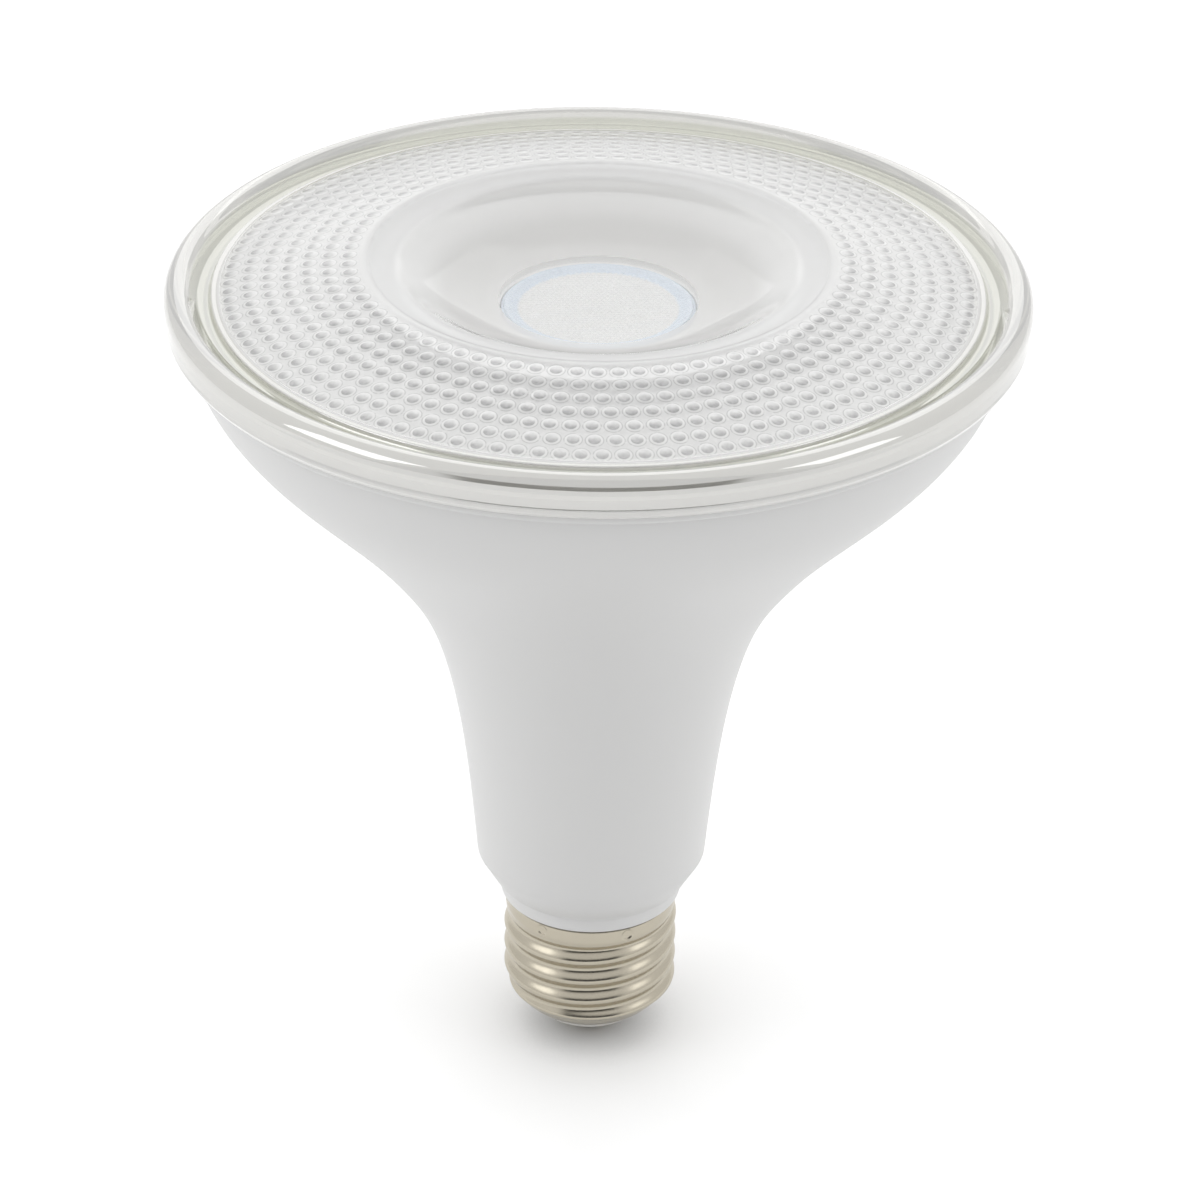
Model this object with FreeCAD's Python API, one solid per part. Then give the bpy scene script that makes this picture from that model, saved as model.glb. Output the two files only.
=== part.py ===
"""Reflector-shaped LED flood lamp with a screw base, modelled piece by piece.

Frame: millimetres, +Z from the centre contact up to the front lens, origin at the tip of the
centre contact on the lamp's axis. The lamp hangs or stands on its base; the front faces +Z.
Round pieces are half sections of (radius, height) points turned about Z.
"""
import FreeCAD, Part
import math
import os

V = FreeCAD.Vector
AXIS = V(0, 0, 1)
CENTRE = V(0, 0, 0)

# Overall sizes and levels
rim_diameter = 121.2           # largest diameter, at the lens rim
rim_level = 124.8              # height where the rim is widest, and of the valley inside it
shell_top = 24.0               # top edge of the screw shell
press_gap = 0.05               # clearance of pressed or glued pieces
slide_gap = 0.15               # clearance of pieces that slide in by hand

# Centre contact and base insulator
contact_flat_radius = 2.6
contact_radius = 4.8
contact_height = 1.4
contact_rim = 0.6
rivet_radius = 1.5
rivet_bore = 0.75
rivet_top = 6.4
rivet_floor = 1.0
contact_bulge = 0.45
insulator_foot_radius = 5.5
insulator_cone_top = 5.0
insulator_bulge = 0.49
insulator_edge = 0.1           # how far the cone ends below the shell's lower edge
insulator_lip_height = 0.35
insulator_seat_height = 0.6
insulator_funnel_slope = 1.6
insulator_funnel_radius = 7.0
insulator_top = 7.4

# Screw shell with its rolled thread
thread_pitch = 3.629
thread_crest_radius = 13.13
thread_depth = 0.92
thread_first_crest = 18.7      # height of the first crest at the front of the lamp
thread_fade_top = 20.9
thread_fade_bottom = 8.4
thread_fade_length = 1.4
collar_inset = 0.18            # collar behind the thread's crests
shell_wall = 0.35
shell_taper = 2.67             # the lower lip's radius below the thread's mean
shell_taper_level = 9.0
punch_count = 6
punch_first_angle = -64.0
punch_radius = 0.75
punch_depth = 0.22
punch_drop = 0.95              # punch centre below the housing's lower edge

# Housing: outline of the trumpet as (height, radius), with the shoulder and neck below it
housing_outline = (
    (32.0, 17.2), (41.0, 18.0), (53.0, 19.4), (65.0, 21.7), (75.0, 25.2), (83.0, 30.2),
    (91.0, 36.7), (99.0, 44.3), (107.0, 51.55), (113.0, 55.5), (117.0, 57.1), (119.2, 57.6),
)
housing_wall = 1.9
band_reach = 0.7               # short plain band above the screw shell, outside its collar
band_bottom = 24.65
band_top = 26.9
shoulder_reach = 1.15          # shoulder's foot outside the band
shoulder_foot_level = 27.8
neck_clearance = 0.36          # between the plastic neck and the thread's roots
neck_wall = 1.7
neck_bottom = 10.6
neck_step_level = 22.6
neck_step_rise = 0.6
land_level = 121.0             # flat land that carries the lens
land_drop = 0.6                # the land's inner edge is taken this far below the outline's top
bead_reach = 1.7               # how far the rim bead stands out of the outline's top
bead_bottom = 119.8
bead_chamfer = 0.4
ledge_width = 1.6
ledge_level = 119.4
ledge_edge = 0.4

# Seal between lens and housing
seal_inset = 0.6               # groove's outer wall behind the rim bead
seal_width = 0.8
seal_height = 0.8

# Front lens
lens_thickness = 2.0
floor_radius = 13.4
floor_level = 122.9
floor_thickness = 1.4
bowl_profile = (               # (radius, height) from the floor's edge over the lip
    (16.5, 123.2), (20.0, 124.15), (24.0, 125.9), (27.0, 127.8), (28.4, 128.55), (30.0, 128.9),
)
inner_line_radius = 33.1
inner_line_level = 129.45
inner_line_width = 1.0
inner_line_step = 0.12
inner_line_slope = 0.15
step_inset = 5.6               # foot of the rounded step behind the rim
step_width = 2.2
step_bulge = 0.15
step_dip = 0.15                # fine groove at the foot of the step
step_dip_width = 0.2
field_outer_level = 125.35
row_count = 7
row_outer_margin = 1.3         # outermost row behind the field's edge
row_inner_margin = 1.8         # innermost row outside the inner line
row_share = 0.8                # share of the row pitch that a ridge covers
row_height = 0.3
edge_lip = 0.25
edge_lip_height = 0.18
rim_bead = 1.95                # half the width of the round bead that rises along the rim
skirt_width = 3.4
skirt_bevel = 0.2
lower_bead_level = 0.4         # above the skirt's lower edge
lower_bead_height = 1.0
lower_bead_inset = 0.5
lower_bead_bulge = 0.25
rib_width = 0.8                # locating rib inside the housing
under_inset = 1.0              # underside starts this far inside the field's edge
under_floor_reach = 2.2

# Reflector ring, collimator and its holder
ring_thickness = 1.2
ring_clearance = 0.3
collimator_face_radius = 13.2
collimator_face_level = 121.2
collimator_flange_radius = 13.7
collimator_flange_height = 1.5
collimator_foot_radius = 5.6
collimator_foot_level = 109.2
collimator_bulge = 1.05
collimator_neck_height = 0.3
collimator_bevel = (0.2, 0.5)  # across and down, at the edge of the face
collimator_dish_radius = 11.2  # flat middle of the dished face
collimator_dish_depth = 0.7
collimator_well_radius = 4.7
collimator_well_height = 5.0
collimator_well_dome = 0.8
collimator_well_bulge = 0.2
holder_wall = 1.5
holder_flange_reach = 2.3      # outside the cup
holder_flange_height = 1.0
holder_foot_reach = 1.2
holder_foot_height = 1.2
holder_opening_radius = 7.6

# LED board and what is on it
board_thickness = 1.6
board_clearance = 0.9          # between the board's edge and the wire hole
pad_thickness = 0.3
array_side = 10.0
array_thickness = 0.9
phosphor_radius = 4.2
phosphor_height = 0.4
phosphor_bevel = 0.24
connector_size = (8.0, 5.4, 3.6)
connector_clearance = 0.9      # between the connector and the holder's foot
connector_rounding = 0.3
connector_mouth_depth = 2.0
screw_clearance = 1.0          # between the screw heads and the holder's foot
screw_count = 3
screw_first_angle = 30.0
screw_shank_radius = 1.4
screw_length = 4.4
screw_head_radius = 2.6
screw_head_height = 1.7
screw_head_rounding = 0.6
screw_slot = 0.6
screw_slot_reach = 1.5
screw_slot_depth = 0.9

# LED plate and heat sink
plate_level = 105.7
plate_thickness = 3.0
plate_rim_depth = 3.0
plate_rim_wall = 1.5
plate_overhang = 0.6
heat_sink_wall = 1.4
heat_sink_bottom = 33.8
wire_hole_radius = 2.6
wire_hole_reach = 4.8          # from the connector's mouth to the hole's centre

# Insulating sleeve and cover around the driver
sleeve_wall = 0.8
sleeve_bottom = 33.0
sleeve_top = 91.0
sleeve_flange_bore = 10.6
sleeve_flange_height = 1.0
rail_reach = 1.4
rail_width = 3.4
rail_top = 58.0
rail_root = 0.5                # how far the rails run into the foot flange
cover_thickness = 1.0
cover_hole_radius = 4.2
cover_hole_place = (1.0, -1.4)

# Driver board and its components
driver_thickness = 1.6
driver_face = -3.2             # board face that carries the tall components
driver_low_width = 22.0
driver_high_width = 29.0
driver_step_level = 61.0
driver_top = 88.0
coil_half_width = 5.4
coil_depth = 13.0
coil_height = 9.4
coil_level = 71.0
coil_rounding = 1.2
core_leg_half_width = 2.6
core_half_width = 9.0
core_height = 15.0
core_depth = 5.0
core_offset = 4.0
core_gap = 0.1
input_can = (0.0, 49.8, 5.0, 13.0)        # x, z, radius, length
output_can = (7.2, 83.4, 4.0, 12.0)
can_groove = 0.35
can_groove_level = 1.4
can_groove_width = 1.0
can_rounding = 0.5
film_box = (0.0, 40.4, 10.0, 6.2, 8.0)    # x, z, width, height, depth
rectifier_box = (-7.3, 44.8, 4.0, 5.0, 2.4)
box_rounding = 0.5
chip_box = (0.0, 58.0, 5.0, 4.0, 1.6)
chip_gap = 0.15
lead_count = 4                 # on each long side of the chip
lead_pitch = 1.14
lead_width = 0.4
lead_thickness = 0.5
lead_reach = 0.9
inductor = (-5.2, 59.1, 4.0, 9.0)         # x, z, radius, length
inductor_flange = 1.2
inductor_waist = 1.1
fuse_body = (7.6, 60.0, 1.7, 8.5)         # x, z, radius, length along the board
fuse_end_length = 1.87
fuse_edge = 0.35
fuse_waist = 0.25
fuse_slope = 0.5
varistor = (7.6, 45.4, 3.5, 3.2)          # x, z, radius, thickness
varistor_rounding = 0.96

# Sizes and levels worked out from those above
rim_radius = rim_diameter / 2
bead_radius = housing_outline[-1][1] + bead_reach
seal_inner_radius = bead_radius - seal_inset - seal_width
step_radius = rim_radius - step_inset
field_outer_radius = step_radius - step_width
lens_skirt_inner = rim_radius - skirt_width
lens_under_level = rim_level - lens_thickness
thread_mean = thread_crest_radius - thread_depth / 2
shell_lip_radius = thread_mean - shell_taper
collar_radius = thread_crest_radius - collar_inset
band_radius = collar_radius + band_reach
shoulder_foot_radius = band_radius + shoulder_reach
neck_radius = thread_crest_radius - thread_depth - shell_wall - neck_clearance
plate_bottom = plate_level - plate_thickness
board_level = plate_level + pad_thickness
board_face = board_level + board_thickness
holder_top = collimator_face_level - collimator_flange_height
holder_foot_radius = collimator_flange_radius + holder_foot_reach
holder_flange_radius = collimator_flange_radius + holder_flange_reach
screw_circle_radius = holder_foot_radius + screw_clearance + screw_head_radius
connector_inside = holder_foot_radius + connector_clearance
connector_mouth = connector_inside + connector_size[1]
wire_hole_distance = connector_mouth + wire_hole_reach
board_radius = wire_hole_distance - wire_hole_radius - board_clearance
driver_back = driver_face - driver_thickness

# Wires, along points chosen by hand
wire_radius = 0.65
wire_lead = 2.7                # straight way into the connector
wire_seat = driver_face + wire_radius
live_route = ((0, 0, 4.2), (0, 0, 11), (0, 0.1, 18), (1.2, -0.9, 25), (3.0, wire_seat, 31),
              (3.0, wire_seat, 36.6))
neutral_route = ((0.1 - neck_radius, 0, 9.4), (-8.6, 0, 8.9), (-6.6, -0.1, 11.6), (-6.4, -0.6, 18),
                 (-5.4, -1.7, 25), (-4.4, wire_seat, 31), (-4.4, wire_seat, 36.6))
output_route = ((1.1, wire_seat, 81.6), (1.2, wire_seat, 88.0), (1.2, -0.6, 93.6),
                (1.3, 4.4, 97.2), (1.3, 12.0, 98.2), (1.4, 20.0, 98.6),
                (1.4, wire_hole_distance - 0.2, 101.2), (1.4, wire_hole_distance, 106.8),
                (1.4, connector_mouth + wire_lead, 109.4), (1.4, connector_mouth, 109.7))


def turned(points, angle=360.0):
    """Solid from a closed half section of (radius, height) points and Part edges between them."""
    return Part.Face(section_wire(points)).revolve(CENTRE, AXIS, angle)


def section_wire(items):
    """Closed wire in the XZ plane: a pair is a corner, an ('arc', middle, end) is a round stretch
    and a ('curve', points) is a smooth stretch through its points."""
    edges = []
    start = here = items[0]
    for item in items[1:]:
        if item[0] == "arc":
            middle, end = item[1], item[2]
            edges.append(Part.Arc(flat(here), flat(middle), flat(end)).toShape())
            here = end
        elif item[0] == "curve":
            curve = Part.BSplineCurve()
            curve.interpolate([flat(here)] + [flat(point) for point in item[1]])
            edges.append(curve.toShape())
            here = item[1][-1]
        else:
            edges.append(Part.makeLine(flat(here), flat(item)))
            here = item
    edges.append(Part.makeLine(flat(here), flat(start)))
    return Part.Wire(edges)


def flat(point):
    """Point of the XZ plane from (radius, height)."""
    return V(point[0], 0, point[1])


def bulged(start, end, rise):
    """Arc item from start to end that bulges by the rise to the right of the way it goes."""
    across, up = end[0] - start[0], end[1] - start[1]
    share = rise / math.hypot(across, up)
    middle = ((start[0] + end[0]) / 2 + share * up, (start[1] + end[1]) / 2 - share * across)
    return ("arc", middle, end)


def cylinder(radius, height, base, direction=AXIS):
    """Plain cylinder."""
    return Part.makeCylinder(radius, height, base, direction)


def box(x, y, z):
    """Box between the (low, high) pairs of each axis."""
    return Part.makeBox(x[1] - x[0], y[1] - y[0], z[1] - z[0], V(x[0], y[0], z[0]))


def around(shape, count, first_angle):
    """Copies of a shape about the lamp's axis."""
    copies = []
    for index in range(count):
        copy = shape.copy()
        copy.rotate(CENTRE, AXIS, first_angle + 360.0 * index / count)
        copies.append(copy)
    return copies


def outline_curve():
    """Smooth curve of the housing's outer outline, from the shoulder to the rim."""
    curve = Part.BSplineCurve()
    curve.interpolate([V(radius, 0, height) for height, radius in housing_outline])
    return curve


OUTLINE = outline_curve()


def inset_point(parameter, depth):
    """(radius, height) at a depth behind the housing's outer surface, square to it."""
    point = OUTLINE.value(parameter)
    tangent = OUTLINE.tangent(parameter)[0]
    return (point.x - depth * abs(tangent.z), point.z + depth * tangent.x)


def inset_radius(height, depth):
    """Radius at a height of the surface that lies the given depth inside the housing."""
    low, high = OUTLINE.FirstParameter, OUTLINE.LastParameter
    for _ in range(40):
        middle = (low + high) / 2
        if inset_point(middle, depth)[1] < height:
            low = middle
        else:
            high = middle
    return inset_point(low, depth)[0]


def inset_stretch(depth, from_height, to_height, count=14):
    """Points of the inset surface between two heights, for a smooth stretch of a section."""
    heights = [from_height + (to_height - from_height) * step / count for step in range(count + 1)]
    return [(inset_radius(height, depth), height) for height in heights]


def centre_contact():
    """Disc with a hollow rivet shank that holds the live wire."""
    crown_top = contact_height + contact_rim
    bore_floor = crown_top + rivet_floor
    return turned([
        (0, 0), (contact_flat_radius, 0),
        bulged((contact_flat_radius, 0), (contact_radius, contact_height), contact_bulge),
        (contact_radius, crown_top), (rivet_radius, crown_top), (rivet_radius, rivet_top),
        (rivet_bore, rivet_top), (rivet_bore, bore_floor), (0, bore_floor),
    ])


def base_insulator():
    """Moulded cone that fills the lower end of the shell and carries the contact."""
    seat = contact_height + contact_rim
    bore = rivet_radius + press_gap
    lip_seat = shell_lip_radius - shell_wall - press_gap
    seat_level = insulator_cone_top + insulator_seat_height
    shell_inside = shell_radius_inside(seat_level) - press_gap
    top_inside = shell_radius_inside(insulator_top) - 2 * press_gap
    foot = (insulator_foot_radius, seat)
    cone_edge = (lip_seat, insulator_cone_top - insulator_edge)
    return turned([
        (bore, seat), foot, bulged(foot, cone_edge, insulator_bulge),
        (lip_seat, insulator_cone_top + insulator_lip_height), (shell_inside, seat_level),
        (top_inside, insulator_top), (insulator_funnel_radius, insulator_top),
        (bore + insulator_funnel_slope, insulator_cone_top), (bore, insulator_cone_top),
    ])


def shell_base_radius(height):
    """Radius of the shell's outer surface without its thread."""
    if height < shell_taper_level:
        depth = (shell_taper_level - height) / (shell_taper_level - insulator_cone_top)
        return thread_mean - (thread_mean - shell_lip_radius) * depth ** 1.8
    share = fade((height - thread_fade_top) / thread_fade_length)
    return thread_mean + (collar_radius - thread_mean) * share


def fade(share):
    """Smooth change from 0 to 1."""
    share = min(max(share, 0.0), 1.0)
    return share * share * (3 - 2 * share)


def shell_radius_inside(height):
    """Smallest inner radius of the shell at a height."""
    return shell_base_radius(height) - shell_wall - thread_depth / 2 * thread_share(height)


def thread_share(height):
    """Share of the full thread depth that a height has."""
    from_top = fade((thread_fade_top + thread_fade_length / 2 - height) / thread_fade_length)
    from_bottom = fade((height - thread_fade_bottom + thread_fade_length) / thread_fade_length)
    return from_top * from_bottom


def shell_point(angle, height, inset):
    """Point of the rolled right-hand thread: the radius waves once in each pitch, and the wave
    climbs one pitch in each turn."""
    turns = (height - thread_first_crest) / thread_pitch - (angle + 90.0) / 360.0
    wave = thread_depth / 2 * thread_share(height) * math.cos(2 * math.pi * turns)
    radius = shell_base_radius(height) + wave - inset
    return V(radius * math.cos(math.radians(angle)), radius * math.sin(math.radians(angle)), height)


def shell_surface(inset, columns=36, rows=64):
    """Full turn of the shell's surface through a grid of points."""
    low, high = insulator_cone_top, shell_top
    grid = []
    for column in range(columns + 1):
        angle = 360.0 * column / columns
        grid.append([shell_point(angle, low + (high - low) * row / rows, inset)
                     for row in range(rows + 1)])
    surface = Part.BSplineSurface()
    surface.interpolate(grid)
    return surface.toShape()


def screw_shell():
    """Thin rolled shell: one surface outside, one inside, flat rings at both ends, and a row of
    crimp punches under the collar's edge."""
    outer = shell_surface(0.0)
    inner = shell_surface(shell_wall)
    faces = [outer, inner]
    for height in (insulator_cone_top, shell_top):
        faces.append(Part.makeRuledSurface(edge_at(outer, height), edge_at(inner, height)))
    shell = Part.makeCompound(faces)
    shell.sewShape()
    solid = Part.Solid(shell.Shells[0])
    if solid.Volume < 0:
        solid.reverse()
    punch_level = band_bottom - punch_drop - punch_radius
    reach = collar_radius - punch_depth
    punch = cylinder(punch_radius, 2.0, V(reach, 0, punch_level), V(1, 0, 0))
    return solid.cut(around(punch, punch_count, punch_first_angle))


def edge_at(face, height):
    """Edge of a patch that lies at one height."""
    return min(face.Edges, key=lambda edge: abs(edge.BoundBox.ZMin - height)
               + abs(edge.BoundBox.ZMax - height))


def housing():
    """White trumpet with its neck, plain band, shoulder, rim bead and inner ledge, one moulding."""
    step_radius_inside = collar_radius - shell_wall - press_gap
    inside_low = inset_radius(sleeve_bottom, housing_wall)
    shoulder = (housing_outline[0][1], housing_outline[0][0])
    top_inside = inset_radius(ledge_level - ledge_width, housing_wall)
    ledge_inside = land_inside() - ledge_width
    bore = neck_radius - neck_wall
    bead = [
        (bead_radius - bead_chamfer, bead_bottom - bead_chamfer / 2),
        (bead_radius, bead_bottom + bead_chamfer / 2), (bead_radius, land_level),
    ]
    groove = [
        (seal_inner_radius + seal_width, land_level),
        (seal_inner_radius + seal_width, land_level - seal_height),
        (seal_inner_radius, land_level - seal_height), (seal_inner_radius, land_level),
    ]
    inner = [
        (land_inside(), land_level), (land_inside(), ledge_level), (ledge_inside, ledge_level),
        (ledge_inside, ledge_level - ledge_edge), (top_inside, ledge_level - ledge_width),
    ]
    wall = inset_stretch(housing_wall, ledge_level - ledge_width, sleeve_bottom)
    neck = [
        (bore, sleeve_bottom), (bore, neck_bottom),
        (neck_radius, neck_bottom), (neck_radius, neck_step_level - neck_step_rise),
        (step_radius_inside, neck_step_level), (step_radius_inside, band_bottom),
        (band_radius, band_bottom), (band_radius, band_top),
        (shoulder_foot_radius, shoulder_foot_level),
    ]
    items = [shoulder, ("curve", [(radius, height) for height, radius in housing_outline[1:]])]
    items += bead + groove + inner
    items.append(("curve", wall[1:-1] + [(inside_low, sleeve_bottom)]))
    return turned(items + neck)


def land_inside():
    """Inner radius of the land that carries the lens."""
    return inset_radius(housing_outline[-1][0] - land_drop, housing_wall)


def seal_ring():
    """Soft ring in the groove of the housing's land."""
    inside = seal_inner_radius + press_gap
    outside = seal_inner_radius + seal_width - press_gap
    bottom = land_level - seal_height
    return turned([(inside, bottom), (outside, bottom), (outside, land_level), (inside, land_level)])


def field_level(radius):
    """Height of the domed field, an arc from the inner line to the field's edge."""
    drop = inner_line_level - field_outer_level
    share = (radius ** 2 - inner_line_radius ** 2) / (field_outer_radius ** 2 - inner_line_radius ** 2)
    return inner_line_level - drop * share


def field_rows():
    """Radii of the rows of dimples, evenly spaced from the inner line to the field's edge."""
    first = inner_line_radius + row_inner_margin
    last = field_outer_radius - row_outer_margin
    return [first + (last - first) * row / (row_count - 1) for row in range(row_count)]


def front_lens():
    """Clear moulding: bowl with a closed floor, satin annulus, domed field with a low ridge for
    each row of dimples, rounded step, valley, rim bead, skirt and locating rib."""
    line_inside = inner_line_radius - inner_line_width
    top = [(0, floor_level), (floor_radius, floor_level)]
    top.append(("curve", list(bowl_profile) + [(line_inside, inner_line_level - inner_line_step)]))
    top.append((line_inside + inner_line_slope, inner_line_level))
    top.append((inner_line_radius, inner_line_level))
    rows = field_rows()
    half_width = row_share * (rows[1] - rows[0]) / 2
    for row in rows:
        low, high = row - half_width, row + half_width
        top.append((low, field_level(low)))
        top.append(("arc", (row, field_level(row) + row_height), (high, field_level(high))))
    lip_inside = (field_outer_radius - edge_lip, field_level(field_outer_radius - edge_lip))
    lip_outside = (field_outer_radius + edge_lip, field_outer_level)
    step_foot = (step_radius, rim_level - step_dip)
    top += [lip_inside, bulged(lip_inside, lip_outside, -edge_lip_height)]
    top += [bulged(lip_outside, step_foot, -step_bulge), (step_radius + step_dip_width, rim_level)]
    top.append((rim_radius - 2 * rim_bead, rim_level))
    top.append(("arc", (rim_radius - rim_bead, rim_level + rim_bead), (rim_radius, rim_level)))
    bead_low = land_level + lower_bead_level
    bead_high = bead_low + lower_bead_height
    side = rim_radius - lower_bead_inset
    skirt = [
        (rim_radius, bead_high + skirt_bevel), (side, bead_high),
        bulged((side, bead_high), (side, bead_low), -lower_bead_bulge),
        (side - skirt_bevel, land_level), (lens_skirt_inner, land_level),
    ]
    rib_outer = land_inside() - ring_clearance
    rib_bottom = ledge_level + ring_thickness
    skirt += [
        (lens_skirt_inner, lens_under_level), (rib_outer, lens_under_level),
        (rib_outer, rib_bottom), (rib_outer - rib_width, rib_bottom),
        (rib_outer - rib_width, lens_under_level),
    ]
    under = [
        (field_outer_radius - under_inset, field_outer_level - lens_thickness),
        (inner_line_radius, inner_line_level - lens_thickness),
    ]
    for radius, height in (bowl_profile[3], bowl_profile[1]):
        under.append((radius + under_inset, height - lens_thickness))
    under += [
        (floor_radius + under_floor_reach, floor_level - floor_thickness),
        (0, floor_level - floor_thickness),
    ]
    return turned(top + skirt + under)


def reflector_ring():
    """White plate behind the dimples, clamped between the housing's ledge and the lens's rib."""
    outer = land_inside() - ring_clearance
    bore = collimator_flange_radius + ring_clearance
    return turned([(bore, ledge_level), (outer, ledge_level),
                   (outer, ledge_level + ring_thickness), (bore, ledge_level + ring_thickness)])


def collimator_lens():
    """Clear cone with a dished front face, a flange and a well over the light source."""
    neck = collimator_flange_radius - holder_wall - 2 * slide_gap
    well_top = collimator_foot_level + collimator_well_height
    crown = (0, well_top + collimator_well_dome)
    foot = (collimator_foot_radius, collimator_foot_level)
    across, down = collimator_bevel
    dish_level = collimator_face_level - collimator_dish_depth
    return turned([
        crown, bulged(crown, (collimator_well_radius, well_top), -collimator_well_bulge),
        (collimator_well_radius, collimator_foot_level), foot,
        bulged(foot, (neck, holder_top - collimator_neck_height), collimator_bulge),
        (neck, holder_top), (collimator_flange_radius, holder_top),
        (collimator_flange_radius, collimator_face_level - down),
        (collimator_face_radius + across, collimator_face_level - down),
        (collimator_face_radius, collimator_face_level), (collimator_dish_radius, dish_level),
        (0, dish_level),
    ])


def lens_holder():
    """White cup on the LED board that carries the collimator and the reflector ring."""
    inside = collimator_flange_radius - holder_wall
    outside = collimator_flange_radius
    foot_top = board_face + holder_foot_height
    return turned([
        (holder_opening_radius, board_face), (holder_foot_radius, board_face),
        (holder_foot_radius, foot_top), (outside, foot_top),
        (outside, ledge_level - holder_flange_height),
        (holder_flange_radius, ledge_level - holder_flange_height),
        (holder_flange_radius, ledge_level), (outside, ledge_level), (outside, holder_top),
        (inside, holder_top), (inside, foot_top), (holder_opening_radius, foot_top),
    ])


def screw_holes(radius, bottom, height):
    """Cylinders for the holes of the board screws."""
    hole = cylinder(radius, height, V(screw_circle_radius, 0, bottom))
    return around(hole, screw_count, screw_first_angle)


def led_board():
    """Round aluminium circuit board with clearance holes for its screws."""
    disc = cylinder(board_radius, board_thickness, V(0, 0, board_level))
    return disc.cut(screw_holes(screw_shank_radius + slide_gap, board_level - 1, board_thickness + 2))


def heat_pad():
    """Thin soft pad under the LED board."""
    disc = cylinder(board_radius, pad_thickness, V(0, 0, plate_level))
    return disc.cut(screw_holes(screw_shank_radius + slide_gap, plate_level - 1, pad_thickness + 2))


def led_array():
    """Square carrier of the light source."""
    half = array_side / 2
    level = (board_face, board_face + array_thickness)
    return box((-half, half), (-half, half), level)


def phosphor_disc():
    """Yellow disc of the light source, with a bevelled edge."""
    bottom = board_face + array_thickness
    top = bottom + phosphor_height
    return turned([(0, bottom), (phosphor_radius, bottom), (phosphor_radius, top - phosphor_bevel),
                   (phosphor_radius - phosphor_bevel, top), (0, top)])


def wire_connector():
    """Push-in terminal on the LED board, with a funnel for each wire."""
    width, depth, height = connector_size
    body = box((-width / 2, width / 2), (connector_inside, connector_inside + depth),
               (board_face, board_face + height))
    mouths = []
    for side in (-1, 1):
        x = side * output_route[-1][0]
        base = V(x, connector_mouth - connector_mouth_depth, output_route[-1][2])
        mouths.append(cylinder(wire_radius + slide_gap, connector_mouth_depth, base, V(0, 1, 0)))
    return body.makeFillet(connector_rounding, body.Edges).cut(mouths)


def board_screws():
    """Pan-head screws through the LED board into the plate."""
    x = screw_circle_radius
    top = board_face + screw_head_height
    head = cylinder(screw_head_radius, screw_head_height, V(x, 0, board_face))
    upper = [edge for edge in head.Edges if edge.BoundBox.ZMin > board_face + screw_head_height / 2]
    head = head.makeFillet(screw_head_rounding, upper)
    shank = cylinder(screw_shank_radius, screw_length, V(x, 0, board_face - screw_length))
    slots = []
    for along, across in ((screw_slot_reach, screw_slot / 2), (screw_slot / 2, screw_slot_reach)):
        slots.append(box((x - along, x + along), (-across, across), (top - screw_slot_depth, top + 1)))
    screw = head.fuse(shank).removeSplitter().cut(slots)
    return Part.makeCompound(around(screw, screw_count, screw_first_angle))


def sink_depth():
    """Depth of the heat sink's outer face behind the housing's outer surface."""
    return housing_wall + slide_gap


def led_plate():
    """Aluminium lid pressed into the top of the heat sink; the LED board is screwed to it."""
    sink_inner = inset_radius(plate_bottom, sink_depth() + heat_sink_wall)
    low_inner = inset_radius(plate_bottom - plate_rim_depth, sink_depth() + heat_sink_wall)
    outer = sink_inner + plate_overhang
    rim_outer = low_inner - slide_gap
    solid = turned([
        (0, plate_bottom), (rim_outer - plate_rim_wall, plate_bottom),
        (rim_outer - plate_rim_wall, plate_bottom - plate_rim_depth),
        (rim_outer, plate_bottom - plate_rim_depth), (rim_outer, plate_bottom),
        (outer, plate_bottom), (outer, plate_level), (0, plate_level),
    ])
    hole = cylinder(wire_hole_radius, plate_thickness + 2,
                    V(0, wire_hole_distance, plate_bottom - 1))
    thread_holes = screw_holes(screw_shank_radius + press_gap, plate_bottom - 1, plate_thickness + 2)
    return solid.cut([hole] + thread_holes)


def heat_sink():
    """Spun aluminium funnel inside the housing."""
    outer_depth = sink_depth()
    inner_depth = outer_depth + heat_sink_wall
    outer = inset_stretch(outer_depth, heat_sink_bottom, plate_bottom)
    inner = inset_stretch(inner_depth, plate_bottom, heat_sink_bottom)
    return turned([outer[0], ("curve", outer[1:]), inner[0], ("curve", inner[1:])])


def sleeve_depth():
    """Depth of the sleeve's outer face behind the housing's outer surface."""
    return sink_depth() + heat_sink_wall + slide_gap


def insulating_sleeve():
    """Plastic funnel around the driver, with a foot flange and two slotted rails for the board."""
    outer = inset_stretch(sleeve_depth(), sleeve_bottom, sleeve_top)
    inner = inset_stretch(sleeve_depth() + sleeve_wall, sleeve_top,
                          sleeve_bottom + sleeve_flange_height)
    funnel = turned([outer[0], ("curve", outer[1:]), inner[0], ("curve", inner[1:]),
                     (sleeve_flange_bore, sleeve_bottom + sleeve_flange_height),
                     (sleeve_flange_bore, sleeve_bottom)])
    filled = turned([(0, sleeve_bottom), outer[0], ("curve", outer[1:]), (0, sleeve_top)])
    middle = (driver_face + driver_back) / 2
    y = (middle - rail_width / 2, middle + rail_width / 2)
    z = (sleeve_bottom + sleeve_flange_height - rail_root, rail_top)
    edge = driver_low_width / 2
    rails = []
    for side in (-1, 1):
        x = sorted((side * (edge - rail_reach), side * 2 * edge))
        rails.append(box(x, y, z).common(filled))
    slot = box((-edge - slide_gap, edge + slide_gap),
               (driver_back - slide_gap, driver_face + slide_gap),
               (sleeve_bottom + sleeve_flange_height, rail_top + 1))
    return funnel.fuse(rails).cut(slot)


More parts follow.
